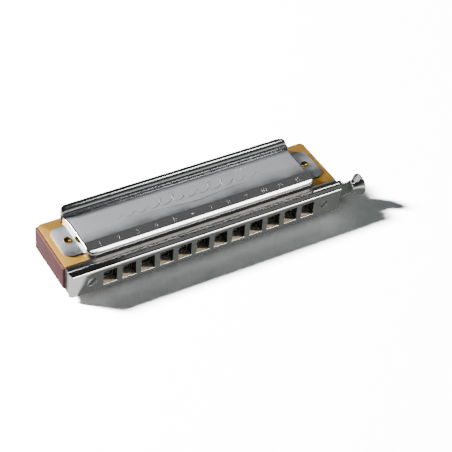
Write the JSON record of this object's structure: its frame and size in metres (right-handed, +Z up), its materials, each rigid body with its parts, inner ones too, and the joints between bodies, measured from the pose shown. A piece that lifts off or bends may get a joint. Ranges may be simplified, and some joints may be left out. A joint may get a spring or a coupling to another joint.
{
  "type": "chromatic harmonica",
  "caption": "Chromatic harmonica: square holes in a chromed mouthpiece, steel covers with a rolled back edge on a painted wooden comb, and a sprung slide with a trumpet-shaped button.",
  "frame": {"origin": "centre of the bounding box's bottom face, with the instrument lying at rest on its lower cover", "axes": "+X along the row of mouth holes towards the slide button, +Y from the mouthpiece towards the back, +Z up from the surface the instrument lies on"},
  "size_m": [0.1586, 0.0414, 0.029],
  "materials": {
    "painted_wood": "mauve-brown paint, worn pink along the edges",
    "brass": "satin, slightly tarnished",
    "reed_brass": "bright, fine ground",
    "cover_steel": "satin panel between polished edges",
    "chrome": "polished",
    "slide_steel": "satin",
    "spring_steel": "drawn wire",
    "valve_film": "thin matt film"
  },
  "bodies": {
    "body": {"comb": "painted_wood", "upper_reed_plate": "brass", "upper_draw_reed_1": "reed_brass", "upper_draw_reed_2": "reed_brass", "upper_draw_reed_3": "reed_brass", "upper_draw_reed_4": "reed_brass", "upper_draw_reed_5": "reed_brass", "upper_draw_reed_6": "reed_brass", "upper_draw_reed_7": "reed_brass", "upper_draw_reed_8": "reed_brass", "upper_draw_reed_9": "reed_brass", "upper_draw_reed_10": "reed_brass", "upper_draw_reed_11": "reed_brass", "upper_draw_reed_12": "reed_brass", "lower_reed_plate": "brass", "lower_draw_reed_1": "reed_brass", "lower_draw_reed_2": "reed_brass", "lower_draw_reed_3": "reed_brass", "lower_draw_reed_4": "reed_brass", "lower_draw_reed_5": "reed_brass", "lower_draw_reed_6": "reed_brass", "lower_draw_reed_7": "reed_brass", "lower_draw_reed_8": "reed_brass", "lower_draw_reed_9": "reed_brass", "lower_draw_reed_10": "reed_brass", "lower_draw_reed_11": "reed_brass", "lower_draw_reed_12": "reed_brass", "upper_cover": "cover_steel", "lower_cover": "cover_steel", "upper_cover_nail_left": "brass", "upper_plate_pin_left": "brass", "upper_cover_nail_right": "brass", "upper_plate_pin_right": "brass", "lower_cover_nail_left": "brass", "lower_plate_pin_left": "brass", "lower_cover_nail_right": "brass", "lower_plate_pin_right": "brass", "mouthpiece": "chrome", "mouthpiece_screw_left": "chrome", "mouthpiece_screw_right": "chrome", "slide_cage": "chrome", "slide_backing_plate": "chrome", "return_spring_coil": "spring_steel", "spring_pin": "brass"},
    "slide": {"slide": "slide_steel", "slide_button": "chrome"},
    "spring_arm": {"return_spring_arm": "spring_steel"}
  },
  "joints": [
    {"name": "slide_press", "type": "slide", "parent": "body", "child": "slide", "axis": [-1, 0, 0], "range_m": [0, 0.00475], "stiffness_N_per_m": 350, "springref_m": -0.003},
    {"name": "spring_arm_swing", "type": "hinge", "parent": "body", "child": "spring_arm", "pos_m": [0.0605, 0.00309, 0.01417], "axis": [0, -0.1425, 0.9898], "range_deg": [-15.6, 0.3]}
  ],
  "couplings": [
    {"joint": "spring_arm_swing", "follows": "slide_press", "rad_per_m": -55.874}
  ]
}
